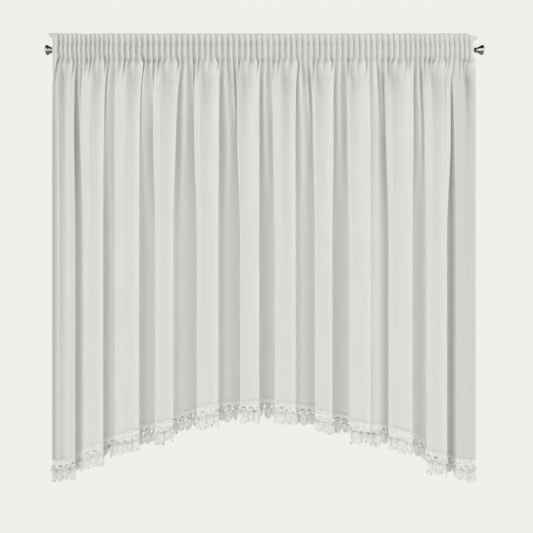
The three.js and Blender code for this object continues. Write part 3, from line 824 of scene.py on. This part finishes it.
# The strip's holes: the part that each takes up and its own place and half sizes, across in shares of a
# leaf's width from its middle, and down in millimetres.
HOLE_COLUMNS = "left right top foot hole_across hole_down half_across half_down"
EYELETS = [
    (-0.5, 0.5, TAPE_FOOT, 22, 0.0, 17, 0.15, 2.6),
    (-0.5, 0.0, 22, EYELETS_FOOT, -0.27, 25, 0.1, 1.8),
    (0.0, 0.5, 22, EYELETS_FOOT, 0.27, 25, 0.1, 1.8),
]
OPENINGS = [(0.0, 1.0, EYELETS_FOOT, NET_FOOT, 0.5, 35, 0.2, 7.5)]
HOLE_POINTS = 17
HOLE_POINTED = 1.5
HOLE_SHIFT = 0.05
CORD_HEIGHT = 0.7
NET_SUNK = 1.2
OPEN_RINGS = (0, 0.4, 0.8, 1)
CLOSED_RINGS = (0, 0.5, 0.85, 1, 1.3, 1.95)
leaf_cloth = FLAT_WIDTH / LACE_TILES
hem_x = np.interp(columns, fold_cloth, fold_low[:, 0])
hem_y = np.interp(columns, fold_cloth, fold_low[:, 1])
hem_normal_x, hem_normal_y = normals(hem_x, hem_y)
lace_chance = np.random.default_rng(7)


def on_hem(cloth, drop, out):
    """A place below the hem: on the folds' lower section at that distance along the cloth, dropped from the
    arch, and out along the section's normal. In the valleys the strip is drawn up and swings out to the
    front."""
    x = np.interp(cloth, columns, hem_x) + out * np.interp(cloth, columns, hem_normal_x)
    y = np.interp(cloth, columns, hem_y)
    behind = smooth(drop / LACE_SWING_OVER) * np.maximum(0, y - FOLD_FRONT)
    y = y - LACE_SWING * behind + out * np.interp(cloth, columns, hem_normal_y)
    return np.stack([x, y, hem_height(cloth) - drop + LACE_LIFT * behind], axis=-1)


def lies_back(numbers):
    """How far the hem at the middle of leaves of these numbers lies back in a valley: 0 on the fronts, 1 at
    the back."""
    return smooth((np.interp(numbers * leaf_cloth, columns, hem_y) - FOLD_FRONT) / VALLEY_OVER)


def lace_grids(cloth, drop, out, gap):
    """Many like grids of lace: the points, quads, places on the flat strip and marks of painted shade and
    tone of arrays that run over grids, rows and columns. The strip is painted greyer on the left side hem, as
    shade, like the voile."""
    left_shade = LACE_LEFT_SHADE * smooth((left_edge_cloth + LEFT_SHADE_WIDTH - cloth) / SHADE_FADE)
    cloth, drop, out, gap = np.broadcast_arrays(cloth, drop, out, gap + left_shade)
    count, rows, across = cloth.shape
    faces = grid_faces(rows, across)[None] + (np.arange(count) * rows * across)[:, None, None]
    flat = np.stack([cloth, drop], axis=-1).reshape(-1, 2) * MM
    return on_hem(cloth, drop, out).reshape(-1, 3), faces.reshape(-1, 4), flat, gap.ravel()


def holes(kinds, numbers, rings):
    """Square pieces of the strip with a pointed hole in each: rings run from the square's edge, 0, to the
    hole's edge, 1, with a raised cord round it, and on to the hole's middle, 2, where a sunk net closes it.
    Each hole is shifted a little by chance, and painted with shade towards its middle, by a chance amount and
    more at the back of a valley."""
    hole = dict(zip(HOLE_COLUMNS.split(), np.array(kinds, dtype=float).T[:, None, :, None, None]))
    angle = np.linspace(0, -2 * np.pi, HOLE_POINTS)
    sideways, upright = np.cos(angle), np.sin(angle)
    ring = np.array(rings)[:, None]
    square = 1 / np.maximum(np.abs(sideways), np.abs(upright))
    left, right, top, foot = (hole[name] for name in ("left", "right", "top", "foot"))
    edge_across = (left + right) / 2 + (right - left) / 2 * sideways * square
    edge_down = (top + foot) / 2 + (foot - top) / 2 * upright * square
    size = np.minimum(1, 2 - ring)
    pointed = np.sign(sideways) * np.abs(sideways) ** HOLE_POINTED
    hole_across = hole["hole_across"] + hole["half_across"] * size * pointed
    hole_down = hole["hole_down"] + hole["half_down"] * size * upright
    share = np.minimum(1, ring)
    drawn = lace_chance.normal(0, 1, (3, len(numbers), len(kinds), 1, 1))
    across = edge_across + (hole_across + HOLE_SHIFT * drawn[0] - edge_across) * share
    across = across + numbers[:, None, None, None]
    down = edge_down + (hole_down + drawn[1] - edge_down) * share + 0 * across
    out = LACE_OUT + CORD_HEIGHT * bell((ring - 0.8) / 0.3) - NET_SUNK * smooth((ring - 1) * 3)
    back = lies_back(numbers + 0.5)[:, None, None, None]
    # Painted shade: darker in and round the hole, more at the back of a valley.
    gap = smooth((ring - 0.3) / 0.9) * np.clip(0.25 + 0.35 * drawn[2] + 0.6 * back, 0.04, 1)
    shape = (-1, len(rings), HOLE_POINTS)
    out, gap = (np.broadcast_to(value, across.shape).reshape(shape) for value in (out, gap))
    return lace_grids((across * leaf_cloth).reshape(shape), down.reshape(shape), out, gap)


strip_cloth = np.linspace(0, FLAT_WIDTH, LACE_TILES * 8 + 1)[None, None]
wave_places = np.linspace(0, FLAT_WIDTH, LACE_TILES)
waves = np.interp(strip_cloth, wave_places, lace_chance.normal(0, TAPE_WAVE, LACE_TILES))
tape_share = np.linspace(0, 1, 6)[None, :, None]
tape_down = np.linspace(TAPE_FOOT, TAPE_TOP, 6)[None, :, None] + waves * tape_share
tape_out = LACE_OUT + np.array([0.0, 0.3, 0.1, 0.1, 0.3, 0.0])[None, :, None]
tape = lace_grids(strip_cloth, tape_down, tape_out, TAPE_TONE * tape_share)
ends_cloth = leaf_cloth * (np.array([0, LACE_TILES - 0.5])[:, None, None] + np.linspace(0, 0.5, 4))
ends = lace_grids(ends_cloth, np.linspace(EYELETS_FOOT, TAPE_FOOT, 4)[None, :, None], LACE_OUT, 0.0)
eyelets = holes(EYELETS, np.arange(1, LACE_TILES), CLOSED_RINGS)
# The net closes the openings between leaves on the fronts and is painted dark there as shade. In the valleys
# they are drawn open.
tiles = np.arange(LACE_TILES)
on_front = on_hem((tiles + 0.5) * leaf_cloth, 0, 0)[:, 1] < VALLEY_FROM
openings = holes(OPENINGS, tiles[~on_front], OPEN_RINGS)
closed = holes(OPENINGS, tiles[on_front], CLOSED_RINGS)

# A leaf is a grid: along its length from the stalk, and across from side to side. It keeps its width from
# about a third of the way down to the middle and rounds off below, has a midrib and side veins and a ragged
# foot, and hangs a little askew. Its rim and stalk are painted with shade, and in the valleys the leaves are
# drawn together and painted darker as shade.
LEAVES = LACE_TILES + 1
LEAF_HALF = 0.68
LEAF_DRAWN_IN = 0.34
LENGTH_SPREAD = 2.4
WIDTH_SPREAD = 0.1
ASKEW_SPREAD = 0.11
RAGGED_SPREAD = 3.0
BEND_SPREAD = 1.6
RIM_SHADE = 0.5
STALK_SHADE = 0.3
VALLEY_SHADE = 0.14
every = (LEAVES, 1, 1)
leaf_numbers = np.arange(LEAVES).reshape(every)
along = np.linspace(1, 0, 11)[None, :, None]
side = np.linspace(-1, 1, 9)[None, None, :]
upper = np.clip(along / 0.35, 0, 1)
lower = np.clip((along - 0.55) / 0.45, 0, 1)
half_leaf = LEAF_HALF * np.sqrt(upper * (2 - upper)) * np.sqrt(1 - 0.84 * lower**3)
half_leaf = half_leaf * (1 + 0.1 * np.sin(along * 60) * smooth(along * 3 - 1))
length = LEAF_LENGTHS[leaf_numbers % 3] - LEAF_TOP + lace_chance.normal(0, LENGTH_SPREAD, every)
leaf_back = lies_back(leaf_numbers)
drawn_in = 1 - leaf_back * lace_chance.uniform(0.0, LEAF_DRAWN_IN, every)
leaf_half = half_leaf * drawn_in * lace_chance.normal(1, WIDTH_SPREAD, every)
leaf_across = leaf_half * side + lace_chance.normal(0, ASKEW_SPREAD, every) * along**1.5
ragged = lace_chance.normal(0, RAGGED_SPREAD, (LEAVES, 1, 9)) * smooth((along - 0.5) * 2)
leaf_down = LEAF_TOP + length * along * (1 - 0.05 * side**2) + ragged
vein = 0.9 * bell(side / 0.15) + 1.1 * np.sin(along * 24 - np.abs(side) * 4) * (1 - side**2)
overlap = np.where(leaf_numbers % 2, 1.6, 0.5)
bend = lace_chance.normal(0, BEND_SPREAD, every) * along**2 + overlap
leaf_out = LACE_OUT + 0.4 + vein + bend - 1.3 * side**2 * np.sin(np.pi * along)
# Painted shade along the leaf's sides, at its stalk and in the valleys.
rim_shade = smooth((np.abs(side) - 0.6) / 0.4) * (1 - smooth((along - 0.7) / 0.25))
rim_shade = rim_shade * lace_chance.uniform(0.0, RIM_SHADE, every)
leaf_shade = rim_shade + STALK_SHADE * (1 - smooth(along / 0.12)) + VALLEY_SHADE * leaf_back
leaf_place = np.clip((leaf_numbers + leaf_across) * leaf_cloth, 0, FLAT_WIDTH)
leaves = lace_grids(leaf_place, leaf_down, leaf_out, leaf_shade)

lace_parts = [tape, ends, eyelets, openings, closed, leaves]
points, faces = joined([part[:2] for part in lace_parts])
flat_lace, lace_shade_and_tone = (np.concatenate([part[column] for part in lace_parts]) for column in (2, 3))
LACE_COLOUR = (1.0, 1.0, 1.0, 1.0)
LACE_SHADE = (0.8, 0.797, 0.802, 1.0)
# The darker colour for the lace's painted shade and for the tape's own darker tone.
LACE_SHADE_AND_TONE = (0.4, 0.4, 0.4, 1.0)
knitted = cloth_material(
    "white_lace", LACE_COLOUR, LACE_SHADE, LACE_SHADE_AND_TONE,
    threads=500.0, slubs=(120, 120, 1), open_share=0.2, glow=0.12, bump=0.6,
)
lace = new_piece("leaf_lace", points, faces, knitted, flat_lace, lace_shade_and_tone)
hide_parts("lace_edging")


# The studio: a plain pale floor and surround, which light the cloth softly and more from the sides and from
# below than from the front, a broad lamp at the front left, and a camera straight in front of the curtain.
# Polished metal mirrors a surround of light and dark bands, brighter in front than at the sides and behind.
SURROUND = (0.8714, 0.8632, 0.8228, 1.0)
FLOOR_LEVEL = -1.9
FLOOR_HALF = 30.0
FLOOR_SHINE_NEAR = 0.32
FLOOR_SHINE_FAR = 3.0
FLOOR_NEAR = 3.5
FLOOR_FAR = 6.0
AMBIENT = 0.91
FLOOR_SHARE = 1.12
SIDE_LIGHT = 2.8
LAMP_STRENGTH = 0.55
# The mirrored bands, from straight down, 0, to straight up, 1: how high each lies and how light it is.
BANDS = [(0.3, 0.2), (0.4, 0.9), (0.66, 0.9), (0.73, 0.35), (0.82, 0.1)]
BAND_ENDS = (0.1, 0.92)
DARK_BAND = (0.01, 0.01, 0.01, 1.0)
BANDS_IN_FRONT = 2.8
BANDS_BEHIND = 0.15

floor_mesh = bpy.data.meshes.new("floor")
floor_ways = ((-1, -1), (1, -1), (1, 1), (-1, 1))
floor_corners = [(x * FLOOR_HALF, y * FLOOR_HALF, FLOOR_LEVEL) for x, y in floor_ways]
floor_mesh.from_pydata(floor_corners, [], [(0, 1, 2, 3)])
floor = new_object("floor", floor_mesh)
pale, nodes, output = new_material("pale_floor")
even = nodes.new("ShaderNodeEmission")
even.inputs["Color"].default_value = SURROUND
ray = nodes.new("ShaderNodeLightPath")
place = nodes.new("ShaderNodeTexCoord")
distance = nodes.new("ShaderNodeVectorMath")
distance.operation = "LENGTH"
mirrored_floor = nodes.new("ShaderNodeMapRange")
set_values(mirrored_floor, {
    "From Min": FLOOR_NEAR, "From Max": FLOOR_FAR, "To Min": FLOOR_SHINE_NEAR,
    "To Max": FLOOR_SHINE_FAR,
})
soft_or_mirrored = nodes.new("ShaderNodeMapRange")
soft_or_mirrored.inputs["To Min"].default_value = FLOOR_SHARE * AMBIENT
lit_or_shown = nodes.new("ShaderNodeMapRange")
wire(
    (place, "Object", distance, 0), (distance, "Value", mirrored_floor, "Value"),
    (mirrored_floor, "Result", soft_or_mirrored, "To Max"),
    (ray, "Is Glossy Ray", soft_or_mirrored, "Value"),
    (soft_or_mirrored, "Result", lit_or_shown, "To Min"),
    (ray, "Is Camera Ray", lit_or_shown, "Value"), (lit_or_shown, "Result", even, "Strength"),
    (even, "Emission", output, "Surface"),
)
floor_mesh.materials.append(pale)

world = bpy.data.worlds.new("studio")
world.use_nodes = True
nodes = world.node_tree.nodes
nodes.clear()
ray = nodes.new("ShaderNodeLightPath")
direction = nodes.new("ShaderNodeTexCoord")
way = nodes.new("ShaderNodeSeparateXYZ")
shown = nodes.new("ShaderNodeBackground")
shown.inputs["Color"].default_value = SURROUND
around = nodes.new("ShaderNodeBackground")
around.inputs["Color"].default_value = SURROUND
sides = nodes.new("ShaderNodeMath")
sides.operation = "MULTIPLY"
brighter = nodes.new("ShaderNodeMath")
brighter.operation = "MULTIPLY_ADD"
set_values(brighter, {
    1: SIDE_LIGHT * (2 - FLOOR_SHARE) * AMBIENT,
    2: (1 - SIDE_LIGHT / 4) * (2 - FLOOR_SHARE) * AMBIENT,
})
bands = nodes.new("ShaderNodeValToRGB")
for end, how_high in zip(bands.color_ramp.elements, BAND_ENDS):
    end.position = how_high
    end.color = DARK_BAND
for how_high, light in BANDS:
    band = bands.color_ramp.elements.new(how_high)
    band.color = (light, light, light * 0.97, 1.0)
spread = nodes.new("ShaderNodeMapRange")
spread.inputs["From Min"].default_value = -1.0
mirrored = nodes.new("ShaderNodeBackground")
beside_or_behind = nodes.new("ShaderNodeMath")
beside_or_behind.operation = "MULTIPLY_ADD"
beside_or_behind.inputs[1].default_value = 2.0
darker_behind = nodes.new("ShaderNodeMapRange")
set_values(darker_behind, {
    "From Min": -0.1, "From Max": 0.4, "To Min": BANDS_IN_FRONT, "To Max": BANDS_BEHIND,
})
soft_or_mirrored = nodes.new("ShaderNodeMixShader")
lit_or_shown = nodes.new("ShaderNodeMixShader")
output = nodes.new("ShaderNodeOutputWorld")
wire(
    (direction, "Generated", way, 0), (way, "X", sides, 0), (way, "X", sides, 1),
    (sides, 0, brighter, 0), (brighter, 0, around, "Strength"), (way, "Z", spread, "Value"),
    (spread, "Result", bands, "Fac"), (bands, "Color", mirrored, "Color"),
    (sides, 0, beside_or_behind, 0), (way, "Y", beside_or_behind, 2),
    (beside_or_behind, 0, darker_behind, "Value"), (darker_behind, "Result", mirrored, "Strength"),
    (ray, "Is Glossy Ray", soft_or_mirrored, "Fac"), (around, "Background", soft_or_mirrored, 1),
    (mirrored, "Background", soft_or_mirrored, 2), (ray, "Is Camera Ray", lit_or_shown, "Fac"),
    (soft_or_mirrored, "Shader", lit_or_shown, 1), (shown, "Background", lit_or_shown, 2),
    (lit_or_shown, "Shader", output, "Surface"),
)
bpy.context.scene.world = world
bpy.context.scene.view_settings.view_transform = "Standard"

lamp_data = bpy.data.lights.new("soft_lamp", "SUN")
lamp_data.angle = np.radians(40)
lamp_data.energy = LAMP_STRENGTH
lamp = new_object("soft_lamp", lamp_data)
lamp.rotation_euler = (np.radians(80), 0, np.radians(-40))

camera_data = bpy.data.cameras.new("camera")
camera_data.sensor_width = 36.0
camera_data.lens = 44.29
camera_data.clip_end = 100.0
camera = new_object("camera", camera_data)
camera.location = (0.0065, -2.223, -0.7333)
camera.rotation_euler = (np.radians(90), 0, 0)
bpy.context.scene.camera = camera
